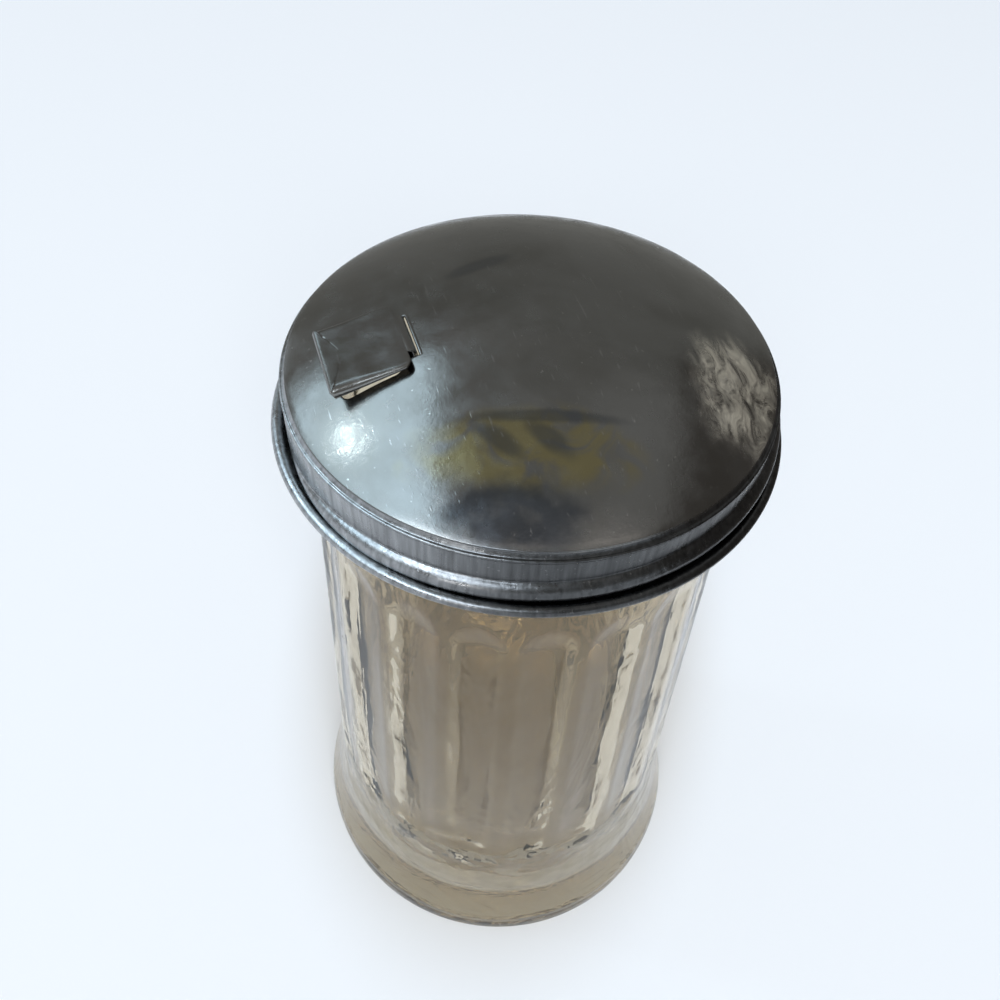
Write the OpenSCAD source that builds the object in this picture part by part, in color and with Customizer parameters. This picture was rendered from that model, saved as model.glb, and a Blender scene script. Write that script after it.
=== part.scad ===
// Glass sugar pourer: a fluted jar, a pressed steel screw cap and a loose pour flap.
// Z is up, the jar stands on z = 0 and the flap points towards -X.

/* [Glass jar] */
// Height of the rim above the table
jar_h = 134.4; // [125:0.1:145]
// Greatest radius of the foot
foot_r = 39.6; // [38.8:0.1:41]
// Outer radius where the foot's flare meets the tapered body
body_r = 35.3; // [35:0.1:36]
// Height where the foot's flare meets the tapered body
flare_h = 31; // [28:0.5:34]
// Lean of the body's side from upright, in degrees
taper = 1.9; // [1.5:0.1:2.1]
// Wall thickness of the body
wall = 3.4; // [3:0.1:4]
// Glass thickness over the foot
base_t = 9; // [7:0.5:12]
// Height that the underside is pushed up at its middle
kick_h = 2; // [1:0.1:3]
// Outer radius of the threaded neck at its root
neck_r = 33.2; // [33:0.05:33.3]
// Radius of the mouth
mouth_r = 29.6; // [29:0.1:30]
// Height of the threaded neck
neck_h = 14.6; // [14:0.1:16]

/* [Flutes] */
// Number of flutes round the body
flutes = 20; // [16:1:24]
// Depth of a flute at its middle
flute_depth = 0.9; // [0.6:0.05:1.1]
// Radius of a flute's hollow, across it
flute_hollow_r = 23; // [18:1:26]
// Height where a flute's straight part starts
flute_low = 22; // [20:1:26]
// Distance from the rim down to the top of a flute's straight part
flute_drop = 25.5; // [24:0.5:30]
// Radius of the run-out at each end of a flute
flute_end_r = 10; // [6:1:12]
// Direction of the first flute, in degrees
flute_turn = 6.6; // [0:0.2:18]

/* [Thread] */
// Climb of the thread in one turn
thread_pitch = 5.08; // [4.5:0.02:5.4]
// Turn of the thread from its start to its end, in degrees
thread_sweep = 350; // [300:5:360]
// Direction of the thread's start, in degrees
thread_turn = 183; // [0:1:360]
// Distance from the rim down to the middle of the thread at its start
thread_drop = 8.9; // [8.6:0.1:9.2]
// Height of the glass thread above the neck
thread_depth = 1.2; // [0.8:0.05:1.2]
// Width of the glass thread at its root
thread_w = 2.4; // [2:0.1:2.6]
// Clearance between the glass thread's crest and the cap's skirt
thread_gap = 0.4; // [0.3:0.05:0.6]
// Height of the rolled ridge above the cap's skirt
ridge_depth = 0.9; // [0.6:0.05:1]
// Width of the rolled ridge at the skirt
ridge_w = 3.2; // [3:0.1:3.4]

/* [Screw cap] */
// Thickness of the cap's sheet
sheet_t = 0.4; // [0.3:0.05:0.45]
// Distance from the skirt's outside in to the crease round the dome
shoulder_w = 0.77; // [0.7:0.01:1]
// Rise of the dome above its crease
dome_rise = 10.3; // [9.5:0.1:11]
// Distance from the crease down to the middle of the curled edge
skirt_h = 9.4; // [9.2:0.1:9.8]
// Distance that the curled edge stands out from the skirt
bead_out = 2.3; // [2.1:0.1:2.6]
// Outer radius of the curl itself
curl_r = 0.9; // [0.8:0.05:1]
// Gap between the rim and the dome that rests on it
seat_gap = 0.05; // [0.03:0.01:0.08]

/* [Pour hole and hinge slot] */
// Distance from the hinge axis out to the near side of the pour hole
hole_gap = 1.25; // [1.05:0.05:1.65]
// Length of the pour hole, away from the hinge
hole_l = 8.2; // [7.4:0.1:8.6]
// Width of the pour hole
hole_w = 11.2; // [9:0.1:11.2]
// Corner radius of the pour hole
hole_corner_r = 1.2; // [0.6:0.1:2]
// Length of the hinge slot
slot_l = 7.9; // [7.6:0.1:8.4]
// Radius of the raised lip on the slot's inner side
slot_lip_r = 0.25; // [0.2:0.05:0.35]

/* [Pour flap] */
// Distance from the dome's crease in to the hinge axis
hinge_in = 16.08; // [15.9:0.02:16.2]
// Inner radius of the hinge curl
hinge_r = 0.7; // [0.65:0.01:0.75]
// Thickness of the flap's sheet
flap_t = 0.4; // [0.3:0.05:0.4]
// Clearance round the hinge curl in its slot
hinge_gap = 0.15; // [0.12:0.01:0.2]
// Width of the tongue that makes the hinge curl
tongue_w = 7.2; // [6.6:0.1:7.2]
// Direction where the hinge curl ends, in degrees from the flap's own plane
tongue_end = 251; // [240:1:252]
// Width of the flap
flap_w = 12.4; // [12.2:0.1:13]
// Distance from the hinge axis to the flap's free edge
flap_l = 11.2; // [10.6:0.1:11.4]
// Distance from the hinge axis to the flap's rear edge
flap_rear = 0.3; // [0.25:0.05:0.5]
// Depth of the flap's sides at the rear
flap_side_rear = 0.85; // [0.8:0.05:0.9]
// Depth of the flap's sides at the free edge
flap_side_front = 1.6; // [1.2:0.1:2]
// Depth of the flap's free edge
flap_front = 0.8; // [0.6:0.05:1]
// Corner radius at the flap's rear
flap_rear_corner = 2; // [1:0.1:2.4]
// Corner radius at the flap's free edge
flap_front_corner = 0.6; // [0.5:0.1:1.5]
// Fall of the closed flap below level, in degrees
flap_droop = 11.5; // [9:0.5:13]

/* [Hidden] */
$fn = 96;
eps = 0.01;

// The foot: a small heel, a short upright side and a rounded top edge.
heel_r = 2;
side_top = 3.5;
foot_top_r = 6;
flare_tilt = 16;
flare_z = side_top + foot_top_r * sin(flare_tilt);

// The underside: a flat standing ring, a slope and a flat middle, as shares of its radius.
stand_w = 4.6;
ring_in = foot_r - heel_r - stand_w;
kick_flat = 0.4;
kick_slope = 0.75;

// Steps on an arc: the usual count, and those of the foot's top, a flute's end and the curl.
arc_steps = 8;
foot_steps = 3;
end_steps = 6;
curl_steps = 20;

// The lip is a half round between the mouth and the neck.
lip_r = (neck_r - mouth_r) / 2;
lip_x = (neck_r + mouth_r) / 2;
lip_z = jar_h - lip_r;
neck_z = jar_h - neck_h;
shoulder_h = 2;
inner_shoulder_h = 6;
inner_corner_r = 6;

// The skirt clears the crest of the glass thread.
skirt_in = neck_r + thread_depth + thread_gap;
skirt_r = skirt_in + sheet_t;
crease_r = skirt_r - shoulder_w;
bead_r = skirt_r + bead_out;

// The dome is part of a sphere that rests on the lip.
dome_r = (pow(crease_r, 2) + pow(dome_rise, 2)) / (2 * dome_rise);
dome_z = lip_z - sqrt(pow(dome_r - sheet_t - lip_r - seat_gap, 2) - pow(lip_x, 2));
crease_z = dome_z + sqrt(pow(dome_r, 2) - pow(crease_r, 2));
curl_x = bead_r - curl_r;
curl_z = crease_z - skirt_h;
foot_bend_r = 0.8;
curl_end = 190;

// The shoulder falls from the crease to a small bevel at the top of the skirt.
shoulder_drop = 0.9;
bevel_w = 0.15;
bevel_h = 0.25;
inner_drop = 1.3 * sheet_t;
tenon = 0.6;

// The hinge axis lies in the middle of the dome's sheet, and the slot leaves room for the curl.
hinge_x = crease_r - hinge_in;
hinge_z = dome_z + sqrt(pow(dome_r - sheet_t / 2, 2) - pow(hinge_x, 2));
hinge_out_r = hinge_r + flap_t;
slot_near = hinge_x - hinge_out_r - hinge_gap;
slot_room = 0.1;
slot_far = hinge_x - hinge_r + hinge_gap + slot_room;
hole_near = hinge_x + hole_gap;
hole_far = hole_near + hole_l;
tongue_lap = 2 * flap_t;

// Thread profiles, as pairs of share of the depth and share of the width.
thread_steps = 72;
fade = 35;
least = 0.2;
thread_shape = [[0, -0.5], [1, -0.22], [1, 0.22], [0, 0.5]];
ridge_shape = [[0, -0.5], [0.55, -0.34], [1, -0.12], [1, 0.12], [0.55, 0.34], [0, 0.5]];

// Each threaded ring is let into the plain parts above and below it.
let_in = 0.3;
ring_gap = 0.05;
neck_recess = wall / 4;
plain_low = 0.6;
plain_high = 0.3;
thread_low = neck_z + plain_low;
thread_high = lip_z - plain_high;
ridge_low = curl_z - curl_r + sheet_t / 2 + foot_bend_r;
ridge_high = crease_z - shoulder_drop - bevel_h;

// Body radius at a height, for the tapered part.
function body_at(z) = body_r - (z - flare_h) * tan(taper);

// Points on an arc about c, from angle a to angle b.
function arc(c, r, a, b, n = arc_steps) =
    [for (i = [0:n]) let (t = a + (b - a) * i / n) [c[0] + r * cos(t), c[1] + r * sin(t)]];

// Points on the concave flare, from the foot up to the tapered body.
function flare(n = arc_steps) =
    let (r = (flare_h - flare_z) / (sin(flare_tilt) - sin(taper)))
    [for (i = [1:n])
        let (t = flare_tilt + (taper - flare_tilt) * i / n)
        [body_r + r * (cos(taper) - cos(t)), flare_h - r * (sin(t) - sin(taper))]];

// How much of the thread's full height there is at an angle along it.
function swell(t) =
    t >= thread_sweep ? 0 : sin(90 * min(1, t / fade, (thread_sweep - t) / fade));

// Height of the thread's middle: it climbs along the thread and falls back in the gap.
function thread_mid(t) =
    let (rise = t < thread_sweep ? t : thread_sweep * (360 - t) / (360 - thread_sweep))
    jar_h - thread_drop + thread_pitch * rise / 360;

// The thread's outline on a wall of radius r, at an angle along it.
function bar(t, r, shape, depth, width) =
    [for (p = shape)
        [r + p[0] * depth * swell(t), thread_mid(t) + p[1] * width * max(least, swell(t))]];

// A ring whose section changes round it: section(t) gives its outline at each angle.
module threaded_ring(section) {
    rows = [for (i = [0:thread_steps - 1]) section(360 * i / thread_steps)];
    count = len(rows[0]);
    points = [for (i = [0:thread_steps - 1], p = rows[i])
        let (t = thread_turn + 360 * i / thread_steps) [p[0] * cos(t), p[0] * sin(t), p[1]]];
    faces = [for (i = [0:thread_steps - 1], k = [0:count - 1])
        let (j = (i + 1) % thread_steps, m = (k + 1) % count)
        each [[i * count + k, i * count + m, j * count + k],
              [i * count + m, j * count + m, j * count + k]]];
    polyhedron(points, faces);
}

// A rounded rectangle from corner to corner, with its own radius at each end along X.
module rounded_plate(x0, x1, w, r0, r1) {
    polygon(concat(
        arc([x1 - r1, w / 2 - r1], r1, 0, 90),
        arc([x0 + r0, w / 2 - r0], r0, 90, 180),
        arc([x0 + r0, r0 - w / 2], r0, 180, 270),
        arc([x1 - r1, r1 - w / 2], r1, 270, 360)));
}

// One flute's cutter: a long drum with rounded ends along the tapered side, cut down to
// the slice of it that lies in its own share of the body. It reaches out past the flare.
module flute_cutter() {
    past = 4;
    straight = jar_h - flute_drop - flute_low;
    reach = flute_hollow_r - flute_depth;
    slice_w = 2 * (body_at(jar_h - flute_drop) - wall / 2) * sin(180 / flutes) - 2 * eps;
    translate([body_at(flute_low), 0, flute_low])
        rotate([0, -taper, 0])
            intersection() {
                translate([reach, 0, 0])
                    rotate_extrude()
                        polygon(concat(
                            [[0, -flute_end_r]],
                            arc([flute_hollow_r - flute_end_r, 0], flute_end_r, -90, 0, end_steps),
                            arc([flute_hollow_r - flute_end_r, straight], flute_end_r, 0, 90, end_steps),
                            [[0, straight + flute_end_r]]));
                translate([-wall / 2, -slice_w / 2, -flute_end_r])
                    cube([wall / 2 + past, slice_w, straight + 2 * flute_end_r]);
            }
}

// The jar's outline and hollow as one section.
module jar_section() {
    inner_r = body_at(base_t + inner_corner_r) - wall;
    inner_top = neck_z - inner_shoulder_h;
    recess_r = neck_r - neck_recess;
    polygon(concat(
        [[0, kick_h], [kick_flat * ring_in, kick_h], [kick_slope * ring_in, kick_h / 2], [ring_in, 0]],
        arc([foot_r - heel_r, heel_r], heel_r, -90, 0),
        arc([foot_r - foot_top_r, side_top], foot_top_r, 0, flare_tilt, foot_steps),
        flare(),
        [[body_at(neck_z - shoulder_h), neck_z - shoulder_h], [neck_r, neck_z],
         [neck_r, thread_low], [recess_r, thread_low],
         [recess_r, thread_high], [neck_r, thread_high]],
        arc([lip_x, lip_z], lip_r, 0, 180),
        [[mouth_r, neck_z], [body_at(inner_top) - wall, inner_top]],
        arc([inner_r - inner_corner_r, base_t + inner_corner_r], inner_corner_r, 0, -90),
        [[0, base_t]]));
}

// Glass jar: thick foot, fluted and tapered body, threaded neck.
module glass_jar() {
    color([0.78, 0.76, 0.66, 0.5]) {
        difference() {
            rotate_extrude()
                jar_section();
            for (i = [0:flutes - 1])
                rotate(flute_turn + i * 360 / flutes)
                    flute_cutter();
        }
        glass_thread();
    }
}

// The neck's outer skin with its thread, let into the wall.
module glass_thread() {
    r = neck_r + ring_gap;
    low = thread_low - let_in;
    high = thread_high + let_in;
    core = neck_r - wall / 2;
    threaded_ring(function(t) concat(
        [[core, low], [r, low]],
        bar(t, r, thread_shape, thread_depth, thread_w),
        [[r, high], [core, high]]));
}

// The shoulder between the dome's crease and the skirt.
module shoulder_section() {
    polygon([
        [crease_r, crease_z], [skirt_r - bevel_w, crease_z - shoulder_drop],
        [skirt_r, ridge_high], [skirt_r, ridge_high - let_in / 2],
        [skirt_in, ridge_high - let_in / 2], [skirt_in, ridge_high],
        [crease_r - sheet_t, crease_z - inner_drop],
        [crease_r - tenon, crease_z - sheet_t / 2]]);
}

// The outward bend under the skirt and its curled edge.
module curl_section() {
    bend = [skirt_r + foot_bend_r - sheet_t / 2, ridge_low];
    polygon(concat(
        [[skirt_r, ridge_low + let_in / 2]],
        arc(bend, foot_bend_r - sheet_t / 2, 180, 270),
        arc([curl_x, curl_z], curl_r - sheet_t, -90, curl_end, curl_steps),
        arc([curl_x, curl_z], curl_r, curl_end, -90, curl_steps),
        arc(bend, foot_bend_r + sheet_t / 2, 270, 180),
        [[skirt_in, ridge_low + let_in / 2]]));
}

// The skirt's wall with its rolled thread, a ridge outside and a channel inside.
module rolled_thread() {
    outer = skirt_r + ring_gap;
    inner = skirt_in + ring_gap;
    channel = [for (p = ridge_shape) [p[0], -p[1]]];
    low = ridge_low;
    high = ridge_high;
    threaded_ring(function(t) concat(
        [[inner, low], [outer, low]],
        bar(t, outer, ridge_shape, ridge_depth, ridge_w),
        [[outer, high], [inner, high]],
        bar(t, inner, channel, ridge_depth, ridge_w - sheet_t)));
}

// Screw cap: one pressed sheet with a dome, a rolled thread, a pour hole and a hinge slot.
module screw_cap() {
    color([0.62, 0.63, 0.63])
        difference() {
            union() {
                dome();
                rotate_extrude() {
                    shoulder_section();
                    curl_section();
                }
                rolled_thread();
                slot_lip();
            }
            pour_hole();
            hinge_slot();
        }
}

// The dome: the part of a spherical shell inside the crease.
module dome() {
    intersection() {
        translate([0, 0, dome_z])
            rotate([90, 0, 0])
                difference() {
                    sphere(dome_r, $fn = 144);
                    sphere(dome_r - sheet_t, $fn = 144);
                }
        translate([0, 0, crease_z - 2 * sheet_t])
            cylinder(h = dome_rise + 4 * sheet_t, r = crease_r);
    }
}

// Raised lip along the inner side of the hinge slot.
module slot_lip() {
    lip_x0 = slot_near - slot_lip_r / 2;
    lip_z0 = dome_z + sqrt(pow(dome_r, 2) - pow(lip_x0, 2));
    translate([-lip_x0, -slot_l / 2 - slot_lip_r, lip_z0])
        rotate([-90, 0, 0])
            cylinder(h = slot_l + 2 * slot_lip_r, r = slot_lip_r, $fn = 32);
}

// Hole under the flap, cut straight down.
module pour_hole() {
    mirror([1, 0, 0])
        translate([0, 0, crease_z])
            linear_extrude(dome_rise + sheet_t)
                rounded_plate(hole_near, hole_far, hole_w, hole_corner_r, hole_corner_r);
}

// Slot that the flap's tongue hangs through.
module hinge_slot() {
    mirror([1, 0, 0])
        translate([slot_near, -slot_l / 2, crease_z])
            cube([slot_far - slot_near, slot_l, dome_rise + sheet_t]);
}

// Pour flap: a shallow tray with a tongue that curls round the strip beside the slot.
module pour_flap() {
    color([0.66, 0.67, 0.67])
        mirror([1, 0, 0])
            translate([hinge_x, 0, hinge_z])
                rotate([0, flap_droop, 0]) {
                    flap_tray();
                    hinge_tongue();
                }
}

// The tray: a plate with turned-down sides that are deeper towards the free edge.
module flap_tray() {
    intersection() {
        difference() {
            translate([0, 0, hinge_out_r - flap_side_front])
                linear_extrude(flap_side_front)
                    rounded_plate(flap_rear, flap_l, flap_w, flap_rear_corner, flap_front_corner);
            translate([0, 0, hinge_r - flap_side_front])
                linear_extrude(flap_side_front)
                    rounded_plate(flap_rear - flap_t, flap_l - flap_t, flap_w - 2 * flap_t,
                                  flap_rear_corner, flap_front_corner - flap_t / 2);
        }
        union() {
            translate([0, flap_w, 0])
                rotate([90, 0, 0])
                    linear_extrude(2 * flap_w)
                        polygon([[0, hinge_out_r + eps], [0, hinge_out_r - flap_side_rear],
                                 [flap_rear + flap_rear_corner, hinge_out_r - flap_side_rear],
                                 [flap_l - flap_t, hinge_out_r - flap_side_front - eps],
                                 [flap_l - flap_t, hinge_out_r + eps]]);
            translate([flap_l - 2 * flap_t, -flap_w, hinge_out_r - flap_front])
                cube([3 * flap_t, 2 * flap_w, flap_front + eps]);
        }
    }
}

// The tongue: a flat strip that turns down through the slot and under the strip beside it.
module hinge_tongue() {
    translate([0, -tongue_w / 2, hinge_r])
        cube([flap_rear + tongue_lap, tongue_w, flap_t]);
    rotate([90, 0, 0])
        rotate([0, 0, 90])
            rotate_extrude(angle = tongue_end - 90)
                translate([hinge_r, -tongue_w / 2])
                    square([flap_t, tongue_w]);
}

glass_jar();
screw_cap();
pour_flap();
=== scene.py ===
"""Glass sugar pourer: a fluted jar, a pressed steel screw cap and a loose pour flap on a pale floor."""
import logging
from dataclasses import dataclass
from enum import Enum

import bmesh
import bpy
import numpy as np
from mathutils import Matrix, Vector
from mathutils.geometry import delaunay_2d_cdt


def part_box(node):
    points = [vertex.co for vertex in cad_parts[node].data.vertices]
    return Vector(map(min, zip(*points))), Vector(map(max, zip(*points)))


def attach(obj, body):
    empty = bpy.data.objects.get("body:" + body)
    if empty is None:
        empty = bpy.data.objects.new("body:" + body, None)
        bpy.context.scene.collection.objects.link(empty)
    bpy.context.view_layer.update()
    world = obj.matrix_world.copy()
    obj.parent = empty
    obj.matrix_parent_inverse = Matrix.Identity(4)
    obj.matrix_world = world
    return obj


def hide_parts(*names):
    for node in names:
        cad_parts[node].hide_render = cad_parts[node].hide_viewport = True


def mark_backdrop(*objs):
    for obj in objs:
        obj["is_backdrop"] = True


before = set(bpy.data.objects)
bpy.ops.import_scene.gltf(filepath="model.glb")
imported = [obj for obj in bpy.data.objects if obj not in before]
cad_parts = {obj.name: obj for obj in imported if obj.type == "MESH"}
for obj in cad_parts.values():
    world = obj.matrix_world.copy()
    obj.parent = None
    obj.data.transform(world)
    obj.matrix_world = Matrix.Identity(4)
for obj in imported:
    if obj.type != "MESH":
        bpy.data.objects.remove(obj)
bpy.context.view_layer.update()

MM = 0.001
log = logging.getLogger("sugar_pourer")

Array = np.ndarray


class Slot(Enum):
    """The record's material slots."""

    GLASS = "jar_glass"
    CAP = "cap_steel"
    FLAP = "flap_steel"


def arc(centre: tuple[float, float], radius: float, start: float, stop: float, count: int) -> Array:
    """Points on an arc: the centre plus radius times (cos t, sin t).

    Args:
        centre: the arc's centre in its own plane, in mm.
        radius: in mm.
        start: angle of the first point, in degrees.
        stop: angle of the last point, in degrees.
        count: number of points.

    Returns:
        One row per point.
    """
    t = np.radians(np.linspace(start, stop, count))
    return np.column_stack([centre[0] + radius * np.cos(t), centre[1] + radius * np.sin(t)])


def line(start: tuple[float, float], stop: tuple[float, float], spacing: float) -> Array:
    """Evenly spaced points from start to stop, about spacing mm apart, both ends included."""
    a, b = np.array(start, float), np.array(stop, float)
    count = max(2, int(np.ceil(np.linalg.norm(b - a) / spacing)) + 1)
    return a + (b - a) * np.linspace(0, 1, count)[:, None]


def fillet(before: Array, corner: Array, after: Array, radius: float, count: int = 6) -> Array:
    """An arc that rounds a corner: its centre lies on the bisector, radius away from both sides.

    Args:
        before: a point on the side that comes in.
        corner: the sharp corner.
        after: a point on the side that goes out.
        radius: of the rounding, in mm.
        count: number of points on the arc.

    Returns:
        One row per point, from the first side to the second.
    """
    a = (before - corner) / np.linalg.norm(before - corner)
    b = (after - corner) / np.linalg.norm(after - corner)
    half = np.arccos(np.clip(a @ b, -1, 1)) / 2
    centre = corner + (a + b) / np.linalg.norm(a + b) * radius / np.sin(half)
    first = corner + a * radius / np.tan(half) - centre
    last = corner + b * radius / np.tan(half) - centre
    t0 = np.arctan2(first[1], first[0])
    turn = (np.arctan2(last[1], last[0]) - t0 + np.pi) % (2 * np.pi) - np.pi
    t = t0 + turn * np.linspace(0, 1, count)
    return centre + radius * np.column_stack([np.cos(t), np.sin(t)])


def join(*pieces: Array) -> Array:
    """The pieces one after the other, without points that repeat the one before."""
    points = np.concatenate([np.atleast_2d(p) for p in pieces])
    keep = np.append(True, np.linalg.norm(np.diff(points, axis=0), axis=1) > 1e-4)
    return points[keep]


def smooth_step(x: Array) -> Array:
    """0 below 0, 1 above 1 and 3x^2 - 2x^3 between."""
    x = np.clip(x, 0, 1)
    return x * x * (3 - 2 * x)


def lesser(a: Array, b: Array, blend: float) -> Array:
    """The smaller of a and b with the corner between them rounded over a difference of blend."""
    h = np.clip(0.5 + (b - a) / (2 * blend), 0, 1)
    return b + (a - b) * h - blend * h * (1 - h)


def lathe(radius: Array, height: Array, angle: Array) -> Array:
    """A grid of points at (radius cos angle, radius sin angle, height), rows by columns."""
    radius, height, angle = np.broadcast_arrays(radius, height, angle)
    return np.stack([radius * np.cos(angle), radius * np.sin(angle), height], axis=-1)


def grid_faces(rows: int, columns: int, closed_rows: bool = False, first: int = 0) -> Array:
    """Four-sided faces of a grid whose columns close into rings.

    Args:
        rows: number of rings.
        columns: points on a ring.
        closed_rows: whether the last ring joins the first.
        first: index of the grid's first vertex.

    Returns:
        One row of four vertex indices per face.
    """
    i, j = np.meshgrid(np.arange(rows if closed_rows else rows - 1), np.arange(columns), indexing="ij")
    below, right = (i + 1) % rows, (j + 1) % columns
    faces = np.stack([i * columns + j, i * columns + right, below * columns + right, below * columns + j], -1)
    return first + faces.reshape(-1, 4)


def fan(pole: int, ring: Array) -> Array:
    """Triangles from a pole to a ring of vertices."""
    return np.column_stack([np.full(len(ring), pole), np.roll(ring, -1), ring])


def make_piece(name: str, points: Array, faces: list[Array], flip: bool = False) -> bpy.types.Object:
    """A smooth mesh object at the origin from points in mm.

    Args:
        name: the piece's name.
        points: one row of x, y, z per vertex, in mm.
        faces: arrays of vertex indices, each with one row per face.
        flip: whether to turn every face round.

    Returns:
        The new object, linked to the scene.
    """
    rows = [row for block in faces for row in (block[:, ::-1] if flip else block).tolist()]
    mesh = bpy.data.meshes.new(name)
    mesh.from_pydata((np.asarray(points, float).reshape(-1, 3) * MM).tolist(), [], rows)
    mesh.validate()
    mesh.shade_smooth()
    piece = bpy.data.objects.new(name, mesh)
    bpy.context.scene.collection.objects.link(piece)
    return piece


@dataclass
class Graph:
    """A node tree with short calls for the nodes that the finishes and the studio share."""

    tree: bpy.types.NodeTree

    def node(self, kind: str, **settings: object) -> bpy.types.Node:
        """Add a node and set its properties."""
        made = self.tree.nodes.new(kind)
        for key, value in settings.items():
            setattr(made, key, value)
        return made

    def link(self, source: object, target: bpy.types.NodeSocket) -> None:
        """Link a socket to an input, or set the input where source is a plain value."""
        if isinstance(source, bpy.types.NodeSocket):
            self.tree.links.new(source, target)
        else:
            target.default_value = source

    def math(self, operation: str, *values: object) -> bpy.types.NodeSocket:
        """A Math node on sockets or numbers."""
        made = self.node("ShaderNodeMath", operation=operation)
        for value, target in zip(values, made.inputs):
            self.link(value, target)
        return made.outputs[0]

    def remap(self, value: object, low: float, high: float, to_low: float = 0, to_high: float = 1,
              smooth: bool = True) -> bpy.types.NodeSocket:
        """Value mapped from low..high to to_low..to_high and held outside."""
        made = self.node("ShaderNodeMapRange", interpolation_type="SMOOTHSTEP" if smooth else "LINEAR")
        for source, target in zip((value, low, high, to_low, to_high), made.inputs):
            self.link(source, target)
        return made.outputs[0]

    def mix(self, share: object, a: object, b: object) -> bpy.types.NodeSocket:
        """Colour a turned into colour b by share."""
        made = self.node("ShaderNodeMix", data_type="RGBA")
        self.link(share, made.inputs[0])
        self.link(a, made.inputs[6])
        self.link(b, made.inputs[7])
        return made.outputs[2]

    def blend(self, share: bpy.types.NodeSocket, a: bpy.types.Node, b: bpy.types.Node) -> bpy.types.NodeSocket:
        """Shader a turned into shader b by share."""
        made = self.node("ShaderNodeMixShader")
        self.link(share, made.inputs[0])
        self.link(a.outputs[0], made.inputs[1])
        self.link(b.outputs[0], made.inputs[2])
        return made.outputs[0]


class ShaderTree(Graph):
    """A material's node tree, with patterns on the object's own coordinates."""

    def __init__(self, name: str) -> None:
        """Make the material with only its output and main shader."""
        self.material = bpy.data.materials.new(name)
        self.material.use_nodes = True
        super().__init__(self.material.node_tree)
        self.shader = self.tree.nodes["Principled BSDF"]
        self.place = self.node("ShaderNodeTexCoord").outputs["Object"]

    def show(self, shader: bpy.types.NodeSocket) -> None:
        """Put another shader in the main one's place."""
        self.tree.nodes.remove(self.shader)
        self.link(shader, self.tree.nodes["Material Output"].inputs["Surface"])

    def noise(self, scale: float, detail: float = 3, vector: object = None, rough: float = 0.5,
              distortion: float = 0) -> bpy.types.NodeSocket:
        """Noise from 0 to 1 on the object's own coordinates, scale in cells per metre."""
        made = self.node("ShaderNodeTexNoise")
        self.link(self.place if vector is None else vector, made.inputs["Vector"])
        made.inputs["Scale"].default_value = scale
        made.inputs["Detail"].default_value = detail
        made.inputs["Roughness"].default_value = rough
        made.inputs["Distortion"].default_value = distortion
        return made.outputs["Fac"]

    def stretched(self, scale: tuple[float, float, float], turn: tuple[float, float, float] = (0, 0, 0),
                  move: tuple[float, float, float] = (0, 0, 0)) -> bpy.types.NodeSocket:
        """Object coordinates moved, turned (radians) and stretched."""
        made = self.node("ShaderNodeMapping")
        self.link(self.place, made.inputs["Vector"])
        made.inputs["Scale"].default_value = scale
        made.inputs["Rotation"].default_value = turn
        made.inputs["Location"].default_value = move
        return made.outputs[0]

    def axis(self, name: str) -> bpy.types.NodeSocket:
        """One of the object's coordinates, in metres: X, Y or Z."""
        made = self.node("ShaderNodeSeparateXYZ")
        self.link(self.place, made.inputs[0])
        return made.outputs[name]

    def reach(self, centre: tuple[float, float, float], size: tuple[float, float, float],
              turn: float) -> bpy.types.NodeSocket:
        """Distance from a centre as a share of an ellipsoid's half-lengths, 1 on the ellipsoid.

        Args:
            centre: in metres.
            size: the half-lengths, in metres.
            turn: of the ellipsoid about Z, in degrees.

        Returns:
            The distance.
        """
        share = self.node("ShaderNodeMapping", vector_type="TEXTURE")
        self.link(self.place, share.inputs["Vector"])
        share.inputs["Location"].default_value = centre
        share.inputs["Rotation"].default_value = (0, 0, np.radians(turn))
        share.inputs["Scale"].default_value = size
        length = self.node("ShaderNodeVectorMath", operation="LENGTH")
        self.link(share.outputs[0], length.inputs[0])
        return length.outputs["Value"]

    def patch(self, centre: tuple[float, float, float], size: tuple[float, float, float], turn: float = 0,
              soft: float = 0.5, ragged: float = 0.35, scale: float = 180) -> bpy.types.NodeSocket:
        """A soft blotch: 1 inside an ellipsoid, 0 outside, with a ragged edge.

        Args:
            centre: its middle, in mm.
            size: its half-lengths along its own axes, in mm.
            turn: of its axes about Z, in degrees.
            soft: share of the size over which it fades.
            ragged: how far noise pushes the edge, as a share of the size.
            scale: of that noise, in cells per metre.

        Returns:
            The blotch's strength.
        """
        away = self.reach([c * MM for c in centre], [s * MM for s in size], turn)
        edge = self.math("MULTIPLY_ADD", self.noise(scale, 4), 2 * ragged, away)
        return self.remap(edge, 1 + ragged + soft / 2, 1 + ragged - soft / 2)

    def bump(self, height: object, distance: float, strength: float = 1,
             under: bpy.types.NodeSocket | None = None) -> bpy.types.NodeSocket:
        """A bump of height times distance, in metres, on top of another bump."""
        made = self.node("ShaderNodeBump")
        made.inputs["Strength"].default_value = strength
        made.inputs["Distance"].default_value = distance
        self.link(height, made.inputs["Height"])
        if under is not None:
            self.link(under, made.inputs["Normal"])
        return made.outputs[0]

    def set(self, **values: object) -> None:
        """Set or link the shader's inputs, with _ in a name for a space."""
        for key, value in values.items():
            self.link(value, self.shader.inputs[key.replace("_", " ")])


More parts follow.
